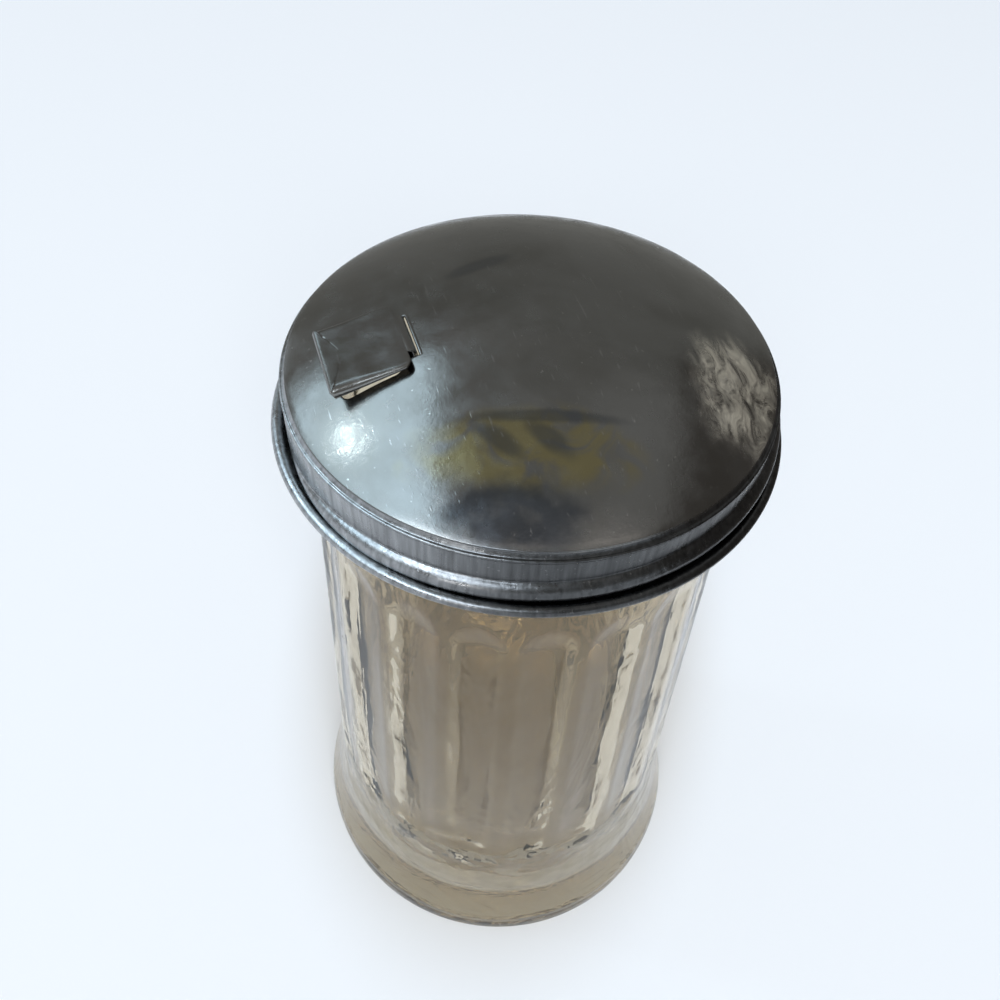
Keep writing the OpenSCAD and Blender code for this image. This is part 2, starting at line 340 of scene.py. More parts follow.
@dataclass(frozen=True)
class PressedGlass:
    """Clear soda glass with a warm cast, wavy skin, faint smears and ripples above the foot."""

    name: str = "pressed_glass"
    tint: tuple[float, float, float] = (0.64, 0.56, 0.42)
    cast: tuple[float, float, float] = (0.7, 0.63, 0.5)
    index: float = 1.5
    ripple_rise: tuple[float, float] = (14, 22)
    ripple_fall: tuple[float, float] = (42, 30)

    def build(self) -> bpy.types.Material:
        """The glass material."""
        t = ShaderTree(self.name)
        smear = t.remap(t.noise(60, 5, t.stretched((1, 1, 0.4)), distortion=1), 0.5, 0.75, 0.01, 0.07)
        waves = t.bump(t.noise(85, 3, t.stretched((1, 1, 0.3)), distortion=0.8), 0.0006)
        up = t.axis("Z")
        low = t.math("MULTIPLY", t.remap(up, *(z * MM for z in self.ripple_rise)),
                     t.remap(up, *(z * MM for z in self.ripple_fall)))
        waves = t.bump(t.math("MULTIPLY", t.noise(110, 2), low), 0.0009, under=waves)
        t.set(Base_Color=(*self.tint, 1), Transmission_Weight=1.0, IOR=self.index, Roughness=smear,
              Specular_Tint=(*self.cast, 1),
              Normal=t.bump(t.noise(420, 3), 0.00002, under=waves))
        return t.material


@dataclass(frozen=True)
class PressedSteel:
    """Polished pressed steel gone grey with use: tarnish, specks, short scratches and drawing marks."""

    name: str
    grey: tuple[float, float, float] = (0.24, 0.24, 0.235)
    dark: tuple[float, float, float] = (0.17, 0.168, 0.158)
    speck: tuple[float, float, float] = (0.5, 0.5, 0.48)
    scratch: tuple[float, float, float] = (0.42, 0.42, 0.42)
    shine: float = 0.2

    def colour(self, t: ShaderTree) -> bpy.types.NodeSocket:
        """Grey clouds of tarnish with fine pale specks."""
        cloud = t.remap(t.noise(45, 5, distortion=0.6), 0.35, 0.7)
        base = t.mix(cloud, (*self.grey, 1), (*self.dark, 1))
        specks = t.remap(t.noise(1500, 2), 0.7, 0.78)
        return t.mix(t.math("MULTIPLY", specks, 0.4), base, (*self.speck, 1))

    def scratches(self, t: ShaderTree) -> bpy.types.NodeSocket:
        """Thin straight scratches in three directions, 1 on a scratch."""
        lines = 0
        for turn, place in ((0.5, 0.01), (1.7, 0.05), (2.6, 0.09)):
            way = t.stretched((1, 0.05, 1), (0, 0, turn), (place, 0, 0))
            lines = t.math("MAXIMUM", lines, t.remap(t.noise(1900, 1, way), 0.72, 0.8))
        return lines

    def build(self) -> bpy.types.Material:
        """The steel material."""
        t = ShaderTree(self.name)
        scratches = self.scratches(t)
        colour = t.mix(t.math("MULTIPLY", scratches, 0.25), self.colour(t), (*self.scratch, 1))
        rough = t.remap(t.noise(300, 4), 0.3, 0.7, self.shine - 0.04, self.shine + 0.08)
        fine = t.bump(t.noise(1100, 5, rough=0.6), 0.00002)
        t.set(Base_Color=colour, Metallic=self.metal(t), Roughness=self.roughness(t, rough),
              Normal=self.relief(t, t.bump(scratches, 0.000006, under=fine)))
        return t.material

    def metal(self, t: ShaderTree) -> object:
        """How far the surface is bare metal."""
        return 1.0

    def roughness(self, t: ShaderTree, rough: bpy.types.NodeSocket) -> bpy.types.NodeSocket:
        """The roughness, from the plain sheet's own."""
        return rough

    def relief(self, t: ShaderTree, under: bpy.types.NodeSocket) -> bpy.types.NodeSocket:
        """The bump, on top of the plain sheet's own."""
        return under


@dataclass(frozen=True)
class Blotch:
    """A mark on the dome: its middle and half-lengths in mm, turn in degrees, fade and strength."""

    centre: tuple[float, float, float]
    size: tuple[float, float, float]
    turn: float
    soft: float
    ragged: float
    scale: float
    strength: float

    def on(self, t: ShaderTree) -> bpy.types.NodeSocket:
        """The mark's share of the surface, before its strength."""
        return t.patch(self.centre, self.size, self.turn, self.soft, self.ragged, self.scale)


@dataclass(frozen=True)
class CapSteel(PressedSteel):
    """The cap's steel: a tarnished dome with a rubbed patch and painted reflections (a warm patch, a dark patch
    and dark streaks), and an upright-brushed skirt with painted side light.
    """

    skirt_top: float = 133.0
    brushed: tuple[float, float, float] = (0.2, 0.205, 0.21)
    # Warm olive colour of a painted reflection on the front of the dome.
    warm_reflection_colour: tuple[float, float, float] = (0.29, 0.25, 0.12)
    # Dark blue-grey colour of painted dark reflections on the dome, also used for the dark streaks.
    dark_reflection_colour: tuple[float, float, float] = (0.075, 0.085, 0.1)
    bare: tuple[float, float, float] = (0.78, 0.74, 0.62)
    # Painted side light on the skirt: its colour is scaled from the first factor at the first X to the second
    # at the second X, lighter on the left and darker on the right.
    painted_side_light: tuple[float, float] = (1.9, 0.45)
    painted_side_light_x: tuple[float, float] = (-35, -10)
    rub: Blotch = Blotch((23.5, -17, 136.5), (6.2, 9, 30), -25, 0.7, 0.45, 170, 0.7)
    # Where the painted warm reflection lies on the dome.
    warm_reflection_patch: Blotch = Blotch((-8, -21.5, 140), (13, 5, 30), -17, 0.6, 0.35, 150, 0.85)
    # Where the painted dark reflection lies at the front of the dome.
    dark_reflection_patch: Blotch = Blotch((-12, -28.5, 135.5), (8, 4, 30), -17, 0.7, 0.4, 260, 0.85)
    # Dark streaks on the dome: the three beside the warm patch are painted dark bands of its reflection.
    dark_streaks_and_reflection_bands: tuple[Blotch, ...] = (
        Blotch((-4.8, 9.9, 142.7), (4.5, 1.3, 30), 10, 0.9, 0.4, 260, 0.4),
        Blotch((-5.5, -18.2, 141), (9.5, 0.8, 30), -17, 0.9, 0.4, 260, 0.6),
        Blotch((-11.3, -19.6, 140), (1.2, 3.6, 30), 38, 0.9, 0.4, 260, 0.6),
        Blotch((-5.4, -21.2, 140), (1.2, 3.4, 30), 38, 0.9, 0.4, 260, 0.6))

    def on_skirt(self, t: ShaderTree) -> bpy.types.NodeSocket:
        """1 below the dome's crease, 0 on the dome."""
        return t.remap(t.axis("Z"), (self.skirt_top + 0.15) * MM, (self.skirt_top - 0.15) * MM)

    def brushing(self, t: ShaderTree) -> bpy.types.NodeSocket:
        """Upright brush marks, from 0 to 1."""
        return t.noise(1300, 3, t.stretched((1, 1, 0.06)), 0.6)

    def rubbed(self, t: ShaderTree) -> bpy.types.NodeSocket:
        """The rubbed patch at the side of the dome, broken into short strokes."""
        strokes = t.remap(t.noise(430, 7, t.stretched((1, 0.4, 1), (0, 0, 0.6)), 0.7, 1.3), 0.28, 0.7)
        return t.math("MULTIPLY", self.rub.on(t), strokes)

    def colour(self, t: ShaderTree) -> bpy.types.NodeSocket:
        """The plain sheet's colour with the dome's painted reflections and rubbed patch, and the skirt's brush
        marks and painted side light.
        """
        shade = super().colour(t)
        # Painted warm reflection on the dome, broken up by noise.
        warm_reflection_patch = t.math("MULTIPLY", self.warm_reflection_patch.on(t), t.remap(t.noise(150, 4, distortion=1.6), 0.32, 0.58))
        shade = t.mix(t.math("MULTIPLY", warm_reflection_patch, self.warm_reflection_patch.strength), shade, (*self.warm_reflection_colour, 1))
        # Painted dark reflection at the front of the dome.
        dark_reflection_patch = t.math("MULTIPLY", self.dark_reflection_patch.on(t), t.remap(t.noise(420, 4), 0.25, 0.55, 0.6, 1))
        shade = t.mix(t.math("MULTIPLY", dark_reflection_patch, self.dark_reflection_patch.strength), shade, (*self.dark_reflection_colour, 1))
        # Dark streaks; those beside the warm patch are painted dark bands of its reflection.
        for dark_streak in self.dark_streaks_and_reflection_bands:
            shade = t.mix(t.math("MULTIPLY", dark_streak.on(t), dark_streak.strength), shade, (*self.dark_reflection_colour, 1))
        shade = t.mix(t.math("MULTIPLY", self.rubbed(t), self.rub.strength), shade, (*self.bare, 1))
        marks = t.remap(self.brushing(t), 0.3, 0.7, 0.6, 1.15, False)
        # Painted side light: the skirt is lighter on the left and darker on the right.
        painted_side_light = t.remap(t.axis("X"), *(x * MM for x in self.painted_side_light_x), *self.painted_side_light)
        metal = self.scaled(t, t.math("MULTIPLY", marks, painted_side_light))
        return t.mix(self.on_skirt(t), shade, metal)

    def metal(self, t: ShaderTree) -> object:
        """Less of a mirror where the dome is rubbed dull."""
        return t.math("MULTIPLY_ADD", self.rubbed(t), -0.3, 1.0)

    def scaled(self, t: ShaderTree, share: bpy.types.NodeSocket) -> bpy.types.NodeSocket:
        """The brushed steel's colour times a share."""
        made = t.node("ShaderNodeVectorMath", operation="SCALE")
        made.inputs[0].default_value = self.brushed
        t.link(share, made.inputs["Scale"])
        return made.outputs[0]

    def roughness(self, t: ShaderTree, rough: bpy.types.NodeSocket) -> bpy.types.NodeSocket:
        """Rougher where the dome is rubbed and on the brushed skirt."""
        worn = t.math("MULTIPLY_ADD", self.rubbed(t), 0.2, rough)
        return t.math("MULTIPLY_ADD", self.on_skirt(t), 0.07, worn)

    def relief(self, t: ShaderTree, under: bpy.types.NodeSocket) -> bpy.types.NodeSocket:
        """The brush marks on the skirt and the strokes of the rubbed patch."""
        marks = t.math("MULTIPLY", self.brushing(t), self.on_skirt(t))
        return t.bump(t.math("MULTIPLY_ADD", self.rubbed(t), 0.5, marks), 0.00005, under=under)


@dataclass
class GlassJar:
    """The jar: thick foot, flared base, fluted tapering body, threaded neck and rounded lip."""

    height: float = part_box("glass_jar")[1].z / MM
    foot_r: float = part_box("glass_jar")[1].x / MM
    body_r: float = 35.3
    flare_h: float = 31
    taper: float = 1.9
    wall: float = 3.4
    base_t: float = 9
    kick_h: float = 2
    neck_r: float = 33.25
    mouth_r: float = 29.6
    neck_h: float = 14.6
    flutes: int = 20
    flute_depth: float = 0.68
    flute_hollow_r: float = 21
    flute_low: float = 22
    flute_drop: float = 25.5
    flute_turn: float = 6.6
    fade_low: float = 16
    fade_high: float = 8
    land_rise: float = 0.12
    ridge_round: float = 0.12
    thread_pitch: float = 5.08
    thread_sweep: float = 350
    thread_turn: float = 183
    thread_drop: float = 8.9
    thread_depth: float = 1.2
    thread_w: float = 2.4
    columns_per_flute: int = 16
    ring_in: float = 33.0
    pole_r: float = 0.6
    foot_round: float = 2
    foot_side_r: float = 6
    foot_side_z: float = 3.5
    flare_tilt: float = 16
    lip_out: float = 33.2
    floor_round: float = 6

    def body_at(self, height: Array) -> Array:
        """Radius of the tapered body at a height, in mm."""
        return self.body_r - (height - self.flare_h) * np.tan(np.radians(self.taper))

    def flare(self) -> Array:
        """The concave arc from the foot's rounded top to the tapered body."""
        a, b = np.radians(self.flare_tilt), np.radians(self.taper)
        low = self.foot_side_z + self.foot_side_r * np.sin(a)
        radius = (self.flare_h - low) / (np.sin(a) - np.sin(b))
        t = np.linspace(a, b, 46)
        return np.column_stack([self.body_r + radius * (np.cos(b) - np.cos(t)),
                                self.flare_h - radius * (np.sin(t) - np.sin(b))])

    def outer_profile(self) -> Array:
        """Radius and height from the middle of the underside up to the top of the neck."""
        neck_z = self.height - self.neck_h
        under = [np.array(p) for p in ((self.pole_r, self.kick_h), (0.4 * self.ring_in, self.kick_h),
                                       (0.75 * self.ring_in, self.kick_h / 2), (self.ring_in, 0.0),
                                       (self.foot_r - self.foot_round, 0.0))]
        shoulder = [np.array(p) for p in ((self.body_at(100), 100.0), (self.body_at(neck_z - 2), neck_z - 2),
                                          (self.neck_r, neck_z), (self.neck_r, self.height - 4))]
        return join(
            line(under[0], under[1] - (6, 0), 2.5),
            fillet(under[0], under[1], under[2], 12, 5),
            fillet(under[1], under[2], under[3], 20, 4),
            fillet(under[2], under[3], under[4], 3, 5),
            arc((self.foot_r - self.foot_round, self.foot_round), self.foot_round, -90, 0, 9),
            arc((self.foot_r - self.foot_side_r, self.foot_side_z), self.foot_side_r, 0, self.flare_tilt, 5),
            self.flare(),
            line((self.body_at(33), 33), (self.body_at(104), 104), 2.4),
            line((self.body_at(104), 104), (self.body_at(115.5), 115.5), 0.5),
            fillet(shoulder[0], shoulder[1], shoulder[2], 1.6, 5),
            fillet(shoulder[1], shoulder[2], shoulder[3], 1.2, 4),
            line((self.neck_r, neck_z + 0.6), (self.neck_r, self.height - 2), 0.33))

    def inner_profile(self) -> Array:
        """Radius and height from the lip's outer edge, over the lip and down to the middle of the floor."""
        lip_r = (self.lip_out - self.mouth_r) / 2
        lip = ((self.lip_out + self.mouth_r) / 2, self.height - lip_r)
        neck_z = self.height - self.neck_h
        high = neck_z - 6
        floor_z = self.base_t + self.floor_round
        floor_edge = self.body_at(floor_z) - self.wall - self.floor_round
        bend = [np.array(p) for p in ((self.mouth_r, self.height), (self.mouth_r, neck_z),
                                      (self.body_at(high) - self.wall, high),
                                      (self.body_at(high - 20) - self.wall, high - 20))]
        return join(
            arc(lip, lip_r, 0, 180, 15),
            line((self.mouth_r, lip[1] - 1), (self.mouth_r, neck_z + 3), 2),
            fillet(bend[0], bend[1], bend[2], 8, 5),
            fillet(bend[1], bend[2], bend[3], 8, 5),
            line((self.body_at(high - 3) - self.wall, high - 3), (floor_edge + self.floor_round, floor_z), 3.6),
            arc((floor_edge, floor_z), self.floor_round, 0, -90, 12),
            line((floor_edge - 2, self.base_t), (self.pole_r, self.base_t), 2.8))

    def flute_radius(self, angle: Array, radius: Array, height: Array) -> Array:
        """Radius of the flutes' hollows: each is part of a drum whose axis stands beside the jar.

        Across a flute the wall is where a ray from the jar's middle meets the drum:
        c cos(a) - sqrt(d^2 - c^2 sin^2(a)), with c the drum's distance, d its radius and a the angle off it.
        Towards a flute's ends the drum moves out by a smooth step, so the hollow narrows to a round end.

        Args:
            angle: direction, in radians.
            radius: of the plain wall, in mm.
            height: in mm.

        Returns:
            The hollow's radius, more than the plain wall's where there is no flute.
        """
        step = 2 * np.pi / self.flutes
        off = (angle - np.radians(self.flute_turn) + step / 2) % step - step / 2
        low, high = self.flute_low + 3, self.height - self.flute_drop + 5.5
        fade = smooth_step((height - low) / self.fade_low) * smooth_step((high - height) / self.fade_high)
        centre = radius + self.flute_hollow_r + self.land_rise - (self.flute_depth + self.land_rise) * fade
        spread = self.flute_hollow_r ** 2 - (centre * np.sin(off)) ** 2
        return centre * np.cos(off) - np.sqrt(np.clip(spread, 0, None))

    def thread_height(self, angle: Array, height: Array) -> Array:
        """How far the glass thread stands off the neck.

        The thread climbs one pitch a turn. Across it the height is depth (1 - w^3), with w the distance
        from its middle as a share of half its width, and it swells and fades by a sine at its ends.
        """
        turn = (np.degrees(angle) - self.thread_turn) % 360
        middle = self.height - self.thread_drop + self.thread_pitch * turn / 360
        ends = np.minimum(turn, self.thread_sweep - turn) / 35
        swell = np.sin(np.pi / 2 * np.clip(ends, 0, 1))
        share = np.abs(height - middle) / (self.thread_w / 2)
        return self.thread_depth * swell * np.clip(1 - share ** 3, 0, 1)

    def build(self) -> bpy.types.Object:
        """The jar as one closed surface: rings of the outer wall, then of the inner wall."""
        step = 360 / self.flutes
        spread = np.sin(np.pi / 2 * np.linspace(-1, 1, self.columns_per_flute + 1)[:-1])
        angle = np.radians((self.flute_turn + step * np.arange(self.flutes)[:, None]
                            + step / 2 * spread[None, :]).ravel())[None, :]
        outer, inner = self.outer_profile(), self.inner_profile()
        radius, height = outer[:, :1], outer[:, 1:]
        fluted = lesser(radius + 0 * angle, self.flute_radius(angle, radius, height), self.ridge_round)
        on_body = (height > 4) & (height < self.height - self.neck_h)
        radius = np.where(on_body, fluted, radius) + self.thread_height(angle, height) * (
            height > self.height - self.neck_h)
        wave = (0.08 * np.sin(3 * angle + inner[:, 1:] / 9) + 0.06 * np.sin(7 * angle - inner[:, 1:] / 14 + 1)
                + 0.025 * np.sin(17 * angle + inner[:, 1:] / 6) * np.sin(inner[:, 1:] / 11 + 2 * angle))
        calm = smooth_step((self.height - self.neck_h - inner[:, 1:]) / 12) * smooth_step(inner[:, :1] / 20)
        grid = np.concatenate([lathe(radius, height, angle),
                               lathe(inner[:, :1] + wave * calm, inner[:, 1:], angle)])
        rows, columns = grid.shape[:2]
        poles = np.array([[0, 0, self.kick_h], [0, 0, self.base_t]])
        points = np.concatenate([grid.reshape(-1, 3), poles])
        last = rows * columns
        faces = [grid_faces(rows, columns), fan(last, np.arange(columns)),
                 fan(last + 1, np.arange(columns)[::-1] + last - columns)]
        piece = make_piece("jar_glass", points, faces)
        piece.data.materials.append(PressedGlass().build())
        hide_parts("glass_jar")
        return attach(piece, "jar")


@dataclass(frozen=True)
class Opening:
    """A rounded rectangle cut through the dome, its middle on the X axis."""

    near: float
    far: float
    width: float
    corner: float

    @property
    def middle(self) -> float:
        """X of its middle: openings lie towards -X."""
        return -(self.near + self.far) / 2

    def distance(self, points: Array) -> Array:
        """Signed distance of points in plan from the edge, positive on the sheet."""
        half = np.array([(self.far - self.near) / 2, self.width / 2]) - self.corner
        away = np.abs(points[:, :2] - (self.middle, 0)) - half
        return (np.linalg.norm(np.clip(away, 0, None), axis=1)
                + np.minimum(away.max(axis=1), 0) - self.corner)

    def loop(self, offset: float, spacing: float) -> Array:
        """The edge moved outwards by offset, as points about spacing apart."""
        half_x, half_y = (self.far - self.near) / 2 - self.corner, self.width / 2 - self.corner
        radius = self.corner + offset
        corners = []
        for turn, (sx, sy) in enumerate(((1, 1), (-1, 1), (-1, -1), (1, -1))):
            corners.append(arc((self.middle + sx * half_x, sy * half_y), radius, 90 * turn, 90 * turn + 90, 6))
        sides = [line(a[-1], b[0], spacing)[1:-1] for a, b in zip(corners, corners[1:] + corners[:1])]
        return np.concatenate([part for pair in zip(corners, sides) for part in pair])


@dataclass
class ScrewCap:
    """The cap: one pressed sheet with a dome, a rolled thread, a curled edge, a pour hole and a slot."""

    sheet: float = 0.4
    skirt_r: float = 35.25
    crease_r: float = 34.43
    dome_r: float = 62.695
    dome_z: float = 80.951
    shoulder_h: float = 0.95
    skirt_h: float = 9.4
    bead_r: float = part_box("screw_cap")[1].x / MM
    curl_r: float = 0.9
    bend_r: float = 0.8
    thread_pitch: float = 5.08
    thread_sweep: float = 350
    thread_turn: float = 183
    thread_drop: float = 8.9
    jar_h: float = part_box("glass_jar")[1].z / MM
    ridge_depth: float = 1.2
    ridge_w: float = 3.6
    ridge_drop: float = 0.25
    edge_round: float = 0.1
    edge_r: float = 0.13
    ring_r: float = 0.27
    groove_sag: float = 0.06
    lip_r: float = 0.25
    columns: int = 360
    hole: Opening = Opening(19.6, 27.8, 11.2, 1.2)
    slot: Opening = Opening(17.1, 17.9, 7.9, 0.12)

    @property
    def crease_z(self) -> float:
        """Height of the crease round the dome."""
        return self.dome_z + np.sqrt(self.dome_r ** 2 - self.crease_r ** 2)

    def angles(self) -> Array:
        """Directions of the cap's columns, in radians."""
        return np.linspace(0, 2 * np.pi, self.columns, endpoint=False)

    def ridge(self, angle: Array, height: Array, width: float) -> Array:
        """How far the rolled thread stands off the skirt: depth (1 - w^2)^0.8 across it.

        The ridge climbs one pitch a turn and fades by a sine at its ends.
        """
        turn = (np.degrees(angle) - self.thread_turn) % 360
        middle = self.jar_h - self.thread_drop - self.ridge_drop + self.thread_pitch * turn / 360
        ends = np.minimum(turn, self.thread_sweep - turn) / 35
        swell = np.sin(np.pi / 2 * np.clip(ends, 0, 1))
        share = np.abs(height - middle) / (width / 2 * np.maximum(0.3, swell))
        return self.ridge_depth * swell * np.clip(1 - share ** 2, 0, 1) ** 0.8

    def skirt_rows(self) -> tuple[Array, Array]:
        """The sheet's outer and inner outlines below the dome, from the crease down and round the curl."""
        low = self.crease_z - self.skirt_h - self.curl_r + self.sheet / 2 + self.bend_r
        high = self.crease_z - self.shoulder_h
        curl = (self.bead_r - self.curl_r, self.crease_z - self.skirt_h)
        bend = (self.skirt_r - 0.05 + self.bend_r - self.sheet / 2, low)
        crease = np.array([self.crease_r, self.crease_z])
        inside = self.sheet
        lean = np.degrees(np.arctan2(self.crease_z - self.dome_z, self.crease_r))
        edge = crease * (1 - self.edge_r / self.dome_r) + (0, self.dome_z * self.edge_r / self.dome_r)
        ring = np.array([self.skirt_r + 0.06 - self.ring_r, high - 0.3])
        edge_arc = arc(edge, self.edge_r, lean, -40, 7)
        ring_arc = arc(ring, self.ring_r, 115, -50, 11)
        outer = join(
            edge_arc,
            self.hollow(edge_arc[-1], ring_arc[0], self.groove_sag),
            ring_arc,
            line((self.skirt_r, high - 0.75), (self.skirt_r, low + 0.3), 0.15),
            arc(bend, self.bend_r - self.sheet / 2, 180, 270, 8),
            arc(curl, self.curl_r - self.sheet, -90, 190, 22))
        inner = join(
            arc(curl, self.curl_r, 190, -90, 30),
            arc(bend, self.bend_r + self.sheet / 2, 270, 180, 8),
            line((self.skirt_r - inside, low + 0.3), (self.skirt_r - inside, high - 0.4), 0.25),
            line((self.skirt_r - inside, high - 0.2), crease * (self.dome_r - inside) / self.dome_r
                 + (0, self.dome_z * inside / self.dome_r), 0.3))
        return outer, inner

    def hollow(self, start: Array, stop: Array, sag: float) -> Array:
        """A shallow groove: a parabola from start to stop that sinks by sag into the sheet."""
        t = np.linspace(0, 1, 9)[:, None]
        ahead = (stop - start) / np.linalg.norm(stop - start)
        inward = np.array([ahead[1], -ahead[0]])
        return start + (stop - start) * t + inward * sag * 4 * t * (1 - t)

    def plan(self) -> tuple[Array, Array, list[Array]]:
        """The dome in plan: points, triangles and each opening's edge loop.

        Rings of points fill the disc, finer loops follow the openings, and a Delaunay mesh joins them.
        """
        spacing = 1.25
        rim = self.crease_r * np.column_stack([np.cos(self.angles()), np.sin(self.angles())])
        rings = [np.zeros((1, 2))]
        for radius in np.append(np.arange(spacing, self.crease_r - 1.6, spacing), self.crease_r - 0.8):
            count = int(round(2 * np.pi * radius / spacing))
            rings.append(arc((0, 0), radius, 0, 360 * (1 - 1 / count), count))
        inside = np.concatenate(rings)
        offsets = (0.0, 0.03, 0.1, 0.3, 0.6)
        for opening in (self.hole, self.slot):
            inside = inside[opening.distance(inside) > offsets[-1] + 0.5]
        loops = [opening.loop(offset, 0.4) for opening in (self.hole, self.slot) for offset in offsets]
        points, edges = [rim, inside, *loops], []
        start = len(rim) + len(inside)
        for loop in loops:
            index = np.arange(start, start + len(loop))
            edges.append(np.column_stack([index, np.roll(index, -1)]))
            start += len(loop)
        flat = np.concatenate(points)
        found = delaunay_2d_cdt([Vector(p) for p in flat], np.concatenate(edges).tolist(), [], 0, 1e-7)
        flat, triangles = np.array(found[0]), np.array(found[2])
        centres = flat[triangles].mean(axis=1)
        solid = np.minimum(self.hole.distance(centres), self.slot.distance(centres)) > 0
        return flat, triangles[solid], [loops[0], loops[len(offsets)]]

    def lift(self, flat: Array, inward: bool) -> Array:
        """Plan points set on the dome, with the sheet's edges rounded at the openings.

        A point goes to the sphere along its own normal; within edge_round of an opening it sinks into the
        sheet by a quarter round.
        """
        rise = np.sqrt(self.dome_r ** 2 - (flat ** 2).sum(axis=1))
        normal = np.column_stack([flat, rise]) / self.dome_r
        near = np.clip(np.minimum(self.hole.distance(flat), self.slot.distance(flat)), 0, self.edge_round)
        share = 1 - near / self.edge_round
        sunk = self.edge_round * (1 - np.sqrt(1 - share ** 2))
        reach = self.dome_r - self.sheet + sunk if inward else self.dome_r - sunk
        return normal * reach[:, None] + (0, 0, self.dome_z)

    def build(self) -> bpy.types.Object:
        """The cap as one closed sheet: outer and inner dome, the skirt's rings and the openings' walls."""
        flat, triangles, edges = self.plan()
        outer_dome, inner_dome = self.lift(flat, False), self.lift(flat, True)
        angle = self.angles()[None, :]
        outer, inner = self.skirt_rows()
        radius = np.concatenate([outer[:, :1] + 0 * angle, inner[:, :1] + 0 * angle])
        height = np.concatenate([outer[:, 1:], inner[:, 1:]])
        plain = np.concatenate([np.abs(outer[:, 0] - self.skirt_r) < 1e-6,
                                np.abs(inner[:, 0] - self.skirt_r + self.sheet) < 1e-6])[:, None]
        within = np.concatenate([np.zeros(len(outer), bool), np.ones(len(inner), bool)])[:, None]
        push = np.where(within, self.ridge(angle, height, self.ridge_w - self.sheet),
                        self.ridge(angle, height, self.ridge_w))
        grid = lathe(radius + push * plain, height, angle)
        points = [outer_dome, inner_dome, grid.reshape(-1, 3)]
        faces = [triangles, triangles[:, ::-1] + len(flat),
                 grid_faces(*grid.shape[:2], first=2 * len(flat))[:, ::-1]]
        start = 2 * len(flat) + grid.shape[0] * grid.shape[1]
        for edge in edges:
            wall = np.stack([self.lift(edge, False), self.lift(edge, True)])
            points.append(wall.reshape(-1, 3))
            faces.append(grid_faces(2, len(edge), first=start))
            start += 2 * len(edge)
        lip = self.slot_lip()
        points.append(lip.reshape(-1, 3))
        ring = np.arange(lip.shape[1]) + start
        faces += [grid_faces(*lip.shape[:2], first=start), ring[None, ::-1],
                  ring[None, :] + (lip.shape[0] - 1) * lip.shape[1]]
        piece = make_piece("cap_steel", np.concatenate(points), faces)
        self.weld(piece)
        piece.data.materials.append(CapSteel("cap_steel").build())
        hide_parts("screw_cap")
        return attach(piece, "cap")

    def slot_lip(self) -> Array:
        """The raised lip along the slot's inner side, as round sections along Y.

        It is a rod of radius r, half sunk in the dome; near its ends the radius falls as the root of
        1 - w^2, so that both ends are round.
        """
        half = self.slot.width / 2 + self.lip_r
        along = half * np.sin(np.pi / 2 * np.linspace(-0.985, 0.985, 25))
        near_end = np.clip((np.abs(along) - half + 2 * self.lip_r) / (2 * self.lip_r), 0, 1)
        radius = self.lip_r * np.sqrt(1 - near_end ** 2)
        turn = np.linspace(0, 2 * np.pi, 16, endpoint=False)
        x = -self.slot.near + 0.55 * self.lip_r
        rise = self.dome_z + np.sqrt(self.dome_r ** 2 - x ** 2 - along ** 2)
        return np.stack([x + radius[:, None] * np.cos(turn),
                         along[:, None] + 0 * turn,
                         rise[:, None] + radius[:, None] * np.sin(turn)], -1)

    def weld(self, piece: bpy.types.Object) -> None:
        """Merge the seams between dome, skirt and walls, and point the faces outwards."""
        mesh = bmesh.new()
        mesh.from_mesh(piece.data)
        bmesh.ops.remove_doubles(mesh, verts=mesh.verts, dist=0.002 * MM)
        bmesh.ops.recalc_face_normals(mesh, faces=mesh.faces)
        mesh.to_mesh(piece.data)
        mesh.free()
        piece.data.shade_smooth()


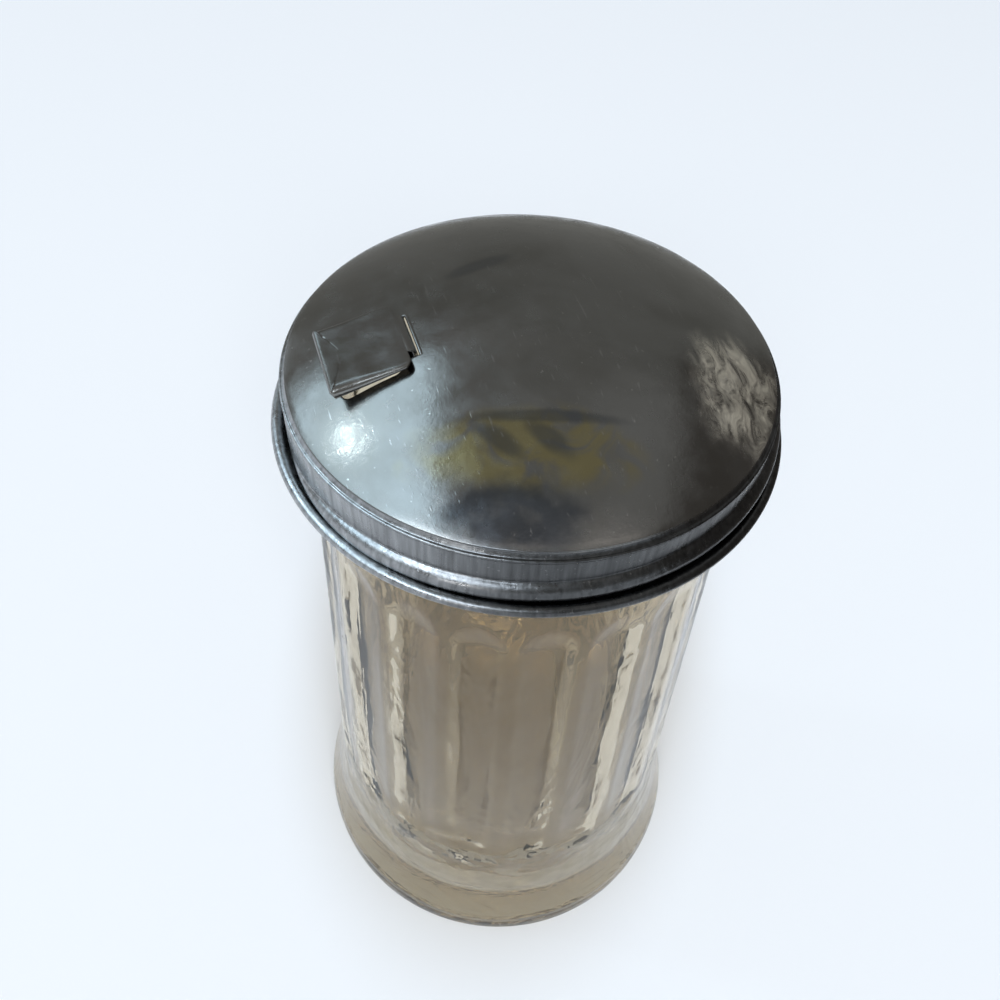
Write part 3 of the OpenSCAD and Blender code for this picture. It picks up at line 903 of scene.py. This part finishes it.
@dataclass
class PourFlap:
    """The flap: a pressed tray with turned-down sides and a tongue that curls round its hinge strip."""

    hinge: tuple[float, float, float] = (-18.35, 0, 140.691)
    hinge_r: float = 0.7
    sheet: float = 0.4
    width: float = 12.4
    length: float = 11.2
    rear: float = 0.05
    side_rear: float = 0.6
    side_front: float = 1.6
    front: float = 0.8
    rear_corner: float = 1.2
    front_corner: float = 0.6
    bend_r: float = 1.1
    droop: float = 11.5
    tongue_w: float = 7.2
    tongue_end: float = 251

    def placed(self, points: Array) -> Array:
        """Points in the flap's own frame, drooped about the hinge and turned to point towards -X."""
        t = np.radians(self.droop)
        x = points[..., 0] * np.cos(t) + points[..., 2] * np.sin(t)
        z = points[..., 2] * np.cos(t) - points[..., 0] * np.sin(t)
        return np.stack([self.hinge[0] - x, self.hinge[1] + points[..., 1], self.hinge[2] + z], -1)

    def outline(self) -> tuple[Array, Array]:
        """The tray's outline in plan, and the outward direction at each point."""
        half, r0, r1 = self.width / 2, self.rear_corner, self.front_corner
        corners = ((self.length - r1, half - r1, r1, 0), (self.rear + r0, half - r0, r0, 90),
                   (self.rear + r0, r0 - half, r0, 180), (self.length - r1, r1 - half, r1, 270))
        arcs = [arc((x, y), r, a, a + 90, 12) for x, y, r, a in corners]
        outs = [arc((0, 0), 1, a, a + 90, 12) for _, _, _, a in corners]
        points, normals = [], []
        for k in range(4):
            a, b = arcs[k][-1], arcs[(k + 1) % 4][0]
            side = line(a, b, 0.5)[1:-1]
            points += [arcs[k], side]
            normals += [outs[k], np.tile(outs[k][-1], (len(side), 1))]
        return np.concatenate(points), np.concatenate(normals)

    def depth(self, plan: Array, out: Array) -> tuple[Array, Array]:
        """Depth of the turned-down edge at each point of the outline, and how far it is turned down.

        The sides deepen evenly towards the free edge, the free edge is shallower and the rear is flat.
        """
        share = np.clip((plan[:, 0] - self.rear - self.rear_corner)
                        / (self.length - self.rear - self.rear_corner), 0, 1)
        side = self.side_rear + (self.side_front - self.side_rear) * share
        ahead = smooth_step((out[:, 0] - 0.25) / 0.5)
        turned = 1 - smooth_step((-out[:, 0] - 0.35) / 0.5)
        return side + (self.front - side) * ahead, turned

    def tray(self) -> Array:
        """The tray as rings from the middle of its top, over the bend and back to the middle below.

        Each ring keeps a distance a inside the outline and a depth h below the top. A turned-down edge has
        a quarter round of bend_r, a straight flank, a rounded lip and the same inside. A flat edge is
        only rounded. The two are blended by how far the edge is turned down.
        """
        plan, out = self.outline()
        depth, turned = self.depth(plan, out)
        lip, t = 0.12, self.sheet
        r = np.clip(depth - lip - 0.02, t + 0.02, self.bend_r)
        bend, inner_bend = np.radians(np.linspace(0, 90, 7)), np.radians(np.linspace(90, 0, 6))
        small = np.radians(np.linspace(0, 90, 4))
        edge = np.concatenate([[0, 0], lip - lip * np.cos(small), t - lip + lip * np.sin(small), [t]])
        a = np.concatenate([r * (1 - np.sin(bend[:, None])), edge[:, None] + 0 * r,
                            r - (r - t) * np.sin(inner_bend[:, None])])
        h_low = np.concatenate([lip * np.sin(small) - lip, lip * np.cos(small) - lip])
        count = len(a)
        h = np.zeros((count, len(plan)))
        first = len(bend)
        h[:first] = r * (1 - np.cos(bend[:, None]))
        h[first] = r + (depth - lip - r) * 0.5
        h[first + 1] = depth - lip
        h[first + 2:first + 2 + len(h_low)] = depth + h_low[:, None]
        h[first + 2 + len(h_low)] = (depth + r) / 2
        h[first + 3 + len(h_low):] = r - (r - t) * np.cos(inner_bend[:, None])
        plain_turn = np.radians(np.linspace(0, 180, count))
        plain_a = t / 2 - t / 2 * np.sin(plain_turn)
        plain_h = t / 2 - t / 2 * np.cos(plain_turn)
        a = plain_a[:, None] + (a - plain_a[:, None]) * turned
        h = plain_h[:, None] + (h - plain_h[:, None]) * turned
        spine = np.column_stack([np.clip(plan[:, 0], self.rear + 3, self.length - 3.2), 0 * plan[:, 1]])
        rings = [np.concatenate([plan - out * a[k][:, None], -h[k][:, None]], axis=1) for k in range(count)]
        steps = np.linspace(0.02, 0.94, 10)
        top = [np.column_stack([spine + (rings[0][:, :2] - spine) * s, 0 * s + rings[0][:, 2]])
               for s in steps]
        below = [np.column_stack([spine + (rings[-1][:, :2] - spine) * s, rings[-1][:, 2]])
                 for s in steps[::-1]]
        grid = np.stack([*top, *rings, *below])
        dish = 0.1 * (1 - (grid[..., 1] / (self.width / 2)) ** 2)
        grid[..., 2] += self.hinge_r + self.sheet - dish * smooth_step((grid[..., 0] - 1) / 3)
        return grid

    def tongue(self) -> Array:
        """The tongue as sections along its path: flat off the tray, then round the hinge axis."""
        middle = self.hinge_r + self.sheet / 2
        path = join(line((1.4, middle), (0, middle), 0.35),
                    arc((0, 0), middle, 90, self.tongue_end, 36))
        ahead = np.gradient(path, axis=0)
        ahead /= np.linalg.norm(ahead, axis=1)[:, None]
        up = np.column_stack([ahead[:, 1], -ahead[:, 0]])
        half, thick, lip = self.tongue_w / 2, self.sheet / 2 - 0.01, 0.1
        section = np.concatenate([arc((half - lip, thick - lip), lip, 0, 90, 4),
                                  arc((lip - half, thick - lip), lip, 90, 180, 4),
                                  arc((lip - half, lip - thick), lip, 180, 270, 4),
                                  arc((half - lip, lip - thick), lip, 270, 360, 4)])
        plane = path[:, None, :] + up[:, None, :] * section[None, :, 1:]
        across = np.broadcast_to(section[None, :, 0], plane.shape[:2])
        return np.stack([plane[..., 0], across, plane[..., 1]], -1)

    def build(self) -> bpy.types.Object:
        """The flap as the closed tray and the closed tongue let into it."""
        tray = self.tray()
        tongue = self.tongue()
        rows, columns = tray.shape[:2]
        points = [tray.reshape(-1, 3), tongue.reshape(-1, 3)]
        ring = np.arange(columns)
        start = rows * columns
        faces = [grid_faces(rows, columns), ring[None, ::-1], ring[None, :] + start - columns]
        steps, around = tongue.shape[:2]
        ring = np.arange(around)
        faces += [grid_faces(steps, around, first=start), ring[None, ::-1] + start,
                  ring[None, :] + start + (steps - 1) * around]
        piece = make_piece("flap_steel", self.placed(np.concatenate(points)), faces)
        self.turn_out(piece)
        piece.data.materials.append(PressedSteel("flap_steel").build())
        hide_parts("pour_flap")
        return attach(piece, "flap")

    def turn_out(self, piece: bpy.types.Object) -> None:
        """Point the faces outwards."""
        mesh = bmesh.new()
        mesh.from_mesh(piece.data)
        bmesh.ops.recalc_face_normals(mesh, faces=mesh.faces)
        mesh.to_mesh(piece.data)
        mesh.free()
        piece.data.shade_smooth()


@dataclass(frozen=True)
class Lamp:
    """A soft rectangular lamp that faces the cap.

    A lamp with in_metal_only shows as a reflection and lights nothing matt. One without in_metal lights the
    scene and has no reflection.
    """

    name: str
    azimuth: float
    elevation: float
    distance: float
    size: tuple[float, float]
    power: float
    colour: tuple[float, float, float]
    in_metal_only: bool = False
    in_metal: bool = True
    aim: tuple[float, float, float] = (0, 0, 0.13)

    def build(self) -> bpy.types.Object:
        """The lamp, set on a sphere round its aim."""
        a, e = np.radians(self.azimuth), np.radians(self.elevation)
        away = Vector((np.cos(e) * np.cos(a), np.cos(e) * np.sin(a), np.sin(e)))
        data = bpy.data.lights.new(self.name, "AREA")
        data.shape = "RECTANGLE"
        data.size, data.size_y = self.size
        data.energy = self.power
        data.color = self.colour
        lamp = bpy.data.objects.new(self.name, data)
        lamp.location = Vector(self.aim) + away * self.distance
        lamp.rotation_euler = away.to_track_quat("Z", "Y").to_euler()
        lamp.visible_diffuse = not self.in_metal_only
        lamp.visible_glossy = self.in_metal
        bpy.context.scene.collection.objects.link(lamp)
        return lamp


@dataclass(frozen=True)
class Flag:
    """A dim card that stands beside the object, out of the picture, and shows only in the steel."""

    name: str
    azimuth: float
    distance: float
    size: tuple[float, float]
    grey: tuple[float, float, float] = (0.2, 0.2, 0.19)

    def build(self) -> bpy.types.Object:
        """The card: upright on the floor, facing the object."""
        a = np.radians(self.azimuth)
        side = np.array([-np.sin(a), np.cos(a)]) * self.size[0] / 2
        foot = np.array([np.cos(a), np.sin(a)]) * self.distance
        corners = [(*(foot - side), 0), (*(foot + side), 0), (*(foot + side), self.size[1]),
                   (*(foot - side), self.size[1])]
        card = make_piece(self.name, np.array(corners) / MM, [np.array([[0, 1, 2, 3]])], flip=True)
        t = ShaderTree(self.name)
        glow = t.node("ShaderNodeEmission")
        glow.inputs["Color"].default_value = (*self.grey, 1)
        t.show(glow.outputs[0])
        card.data.materials.append(t.material)
        card.visible_camera = False
        card.visible_diffuse = False
        card.visible_transmission = False
        card.visible_shadow = False
        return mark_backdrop(card)


@dataclass
class Studio:
    """A pale floor, soft lamps, a pale world and the camera.

    The shade is a soft oval of darker floor under and behind the object. From the camera's place nearly all
    of it lies behind the object, so that it deepens the glass and leaves the floor round it pale.
    """

    pale: tuple[float, float, float] = (0.855, 0.922, 1.0)
    ceiling: tuple[float, float, float] = (0.34, 0.34, 0.33)
    fill: float = 0.45
    own_light: float = 0.4
    shade_middle: tuple[float, float] = (0.018, 0.044)
    shade_size: tuple[float, float] = (0.115, 0.064)
    shade_turn: float = 67
    shade_tone: tuple[float, float, float] = (0.45, 0.41, 0.34)
    shade_core: float = 0.35
    horizon: float = 0.15
    floor_r: float = 12
    floor_drop: float = 0.0002
    eye: tuple[float, float, float] = (-39.13, -94.94, 224.66)
    ahead: tuple[float, float, float] = (0.22518, 0.59787, -0.76932)
    right: tuple[float, float, float] = (0.95102, -0.30651, 0.04015)
    lens: float = 34.61

    def seen(self, graph: Graph) -> bpy.types.NodeSocket:
        """1 for camera, glossy and transmission rays, so that metal and glass show the pale studio too."""
        rays = graph.node("ShaderNodeLightPath").outputs
        direct = graph.math("MAXIMUM", rays["Is Camera Ray"], rays["Is Glossy Ray"])
        return graph.math("MAXIMUM", direct, rays["Is Transmission Ray"])

    def floor(self) -> bpy.types.Object:
        """The floor: a wide disc, partly lit by itself so that it stays pale round a soft shadow."""
        ring = arc((0, 0), self.floor_r / MM, 0, 357.5, 144)
        points = np.column_stack([ring, np.full(len(ring), -self.floor_drop / MM)])
        piece = make_piece("floor", points, [np.arange(len(ring))[None, :]])
        t = ShaderTree("floor")
        matt, glow = t.node("ShaderNodeBsdfDiffuse"), t.node("ShaderNodeEmission")
        tone = t.mix(self.clear_of_object(t), (*self.shade_tone, 1), (*self.pale, 1))
        t.link(tone, matt.inputs["Color"])
        t.link(tone, glow.inputs["Color"])
        t.show(t.blend(t.math("MULTIPLY", self.seen(t), self.own_light), matt, glow))
        piece.data.materials.append(t.material)
        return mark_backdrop(piece)

    def clear_of_object(self, t: ShaderTree) -> bpy.types.NodeSocket:
        """0 in the shade's core, 1 outside its oval."""
        away = t.reach((*self.shade_middle, 0), (*self.shade_size, 1), self.shade_turn)
        return t.remap(away, self.shade_core, 1)

    def world(self) -> None:
        """The world: pale for the camera, pale at the horizon and dimmer overhead in metal and glass."""
        world = bpy.data.worlds.new("studio")
        world.use_nodes = True
        bpy.context.scene.world = world
        graph = Graph(world.node_tree)
        graph.tree.nodes.clear()
        axes = graph.node("ShaderNodeSeparateXYZ")
        graph.link(graph.node("ShaderNodeTexCoord").outputs["Generated"], axes.inputs[0])
        up = graph.remap(axes.outputs["Z"], 0, self.horizon)
        hidden = graph.math("SUBTRACT", 1, graph.node("ShaderNodeLightPath").outputs["Is Camera Ray"])
        shown, soft = graph.node("ShaderNodeBackground"), graph.node("ShaderNodeBackground")
        tint = graph.mix(graph.math("MULTIPLY", up, hidden), (*self.pale, 1), (*self.ceiling, 1))
        graph.link(tint, shown.inputs["Color"])
        soft.inputs["Color"].default_value = (1, 1, 1, 1)
        soft.inputs["Strength"].default_value = self.fill
        graph.link(graph.blend(self.seen(graph), soft, shown),
                   graph.node("ShaderNodeOutputWorld").inputs["Surface"])

    def lamps(self) -> list[bpy.types.Object]:
        """The key and a window, three lamps that show only as reflections, and a fill behind the camera."""
        return [lamp.build() for lamp in (
            Lamp("key", 149, 41, 1.2, (0.08, 0.065), 0.75, (0.82, 0.95, 1.0)),
            Lamp("window", 160, 44, 1.1, (1.3, 0.85), 9.6, (0.64, 0.85, 1.0), in_metal_only=True),
            Lamp("side", 222, 37, 1.1, (0.8, 0.4), 8.0, (0.8, 0.9, 1.0), in_metal_only=True),
            Lamp("rim", 260, 57, 1.1, (1.3, 0.14), 0.3, (1.0, 0.9, 0.84), in_metal_only=True),
            Lamp("glint", 228, 9, 2.0, (0.2, 0.2), 3.2, (1.0, 1.0, 1.0), in_metal_only=True),
            Lamp("fill", 250, 40, 3.2, (2.4, 1.4), 104, (1.0, 0.98, 0.96), in_metal=False))]

    def flags(self) -> list[bpy.types.Object]:
        """Dim cards behind the object and to its right, which keep the far side of the steel dark."""
        return [card.build() for card in (
            Flag("flag_behind", 60, 0.34, (1.0, 0.6), (0.25, 0.25, 0.235)),
            Flag("flag_right", -20, 0.17, (0.3, 0.3), (0.12, 0.11, 0.1)))]

    def camera(self) -> bpy.types.Object:
        """The camera at the photograph's place and angle."""
        data = bpy.data.cameras.new("camera")
        data.lens = self.lens
        data.sensor_width = 36
        data.clip_start = 0.005
        data.clip_end = 100
        ahead, right = Vector(self.ahead).normalized(), Vector(self.right).normalized()
        up = right.cross(ahead).normalized()
        turn = Matrix((right, up, -ahead)).transposed()
        camera = bpy.data.objects.new("camera", data)
        camera.matrix_world = Matrix.Translation(Vector(self.eye) * MM) @ turn.to_4x4()
        bpy.context.scene.collection.objects.link(camera)
        bpy.context.scene.camera = camera
        return camera

    def build(self) -> None:
        """Everything round the object."""
        bpy.context.scene.view_settings.view_transform = "Standard"
        self.floor()
        self.world()
        self.lamps()
        self.flags()
        self.camera()


def main() -> None:
    """Build the studio and the three pieces."""
    logging.basicConfig(level=logging.INFO, format="%(name)s: %(message)s")
    Studio().build()
    for part in (GlassJar(), ScrewCap(), PourFlap()):
        piece = part.build()
        log.info("%s: %d vertices, %d faces", piece.name, len(piece.data.vertices), len(piece.data.polygons))


if __name__ == "__main__":
    main()
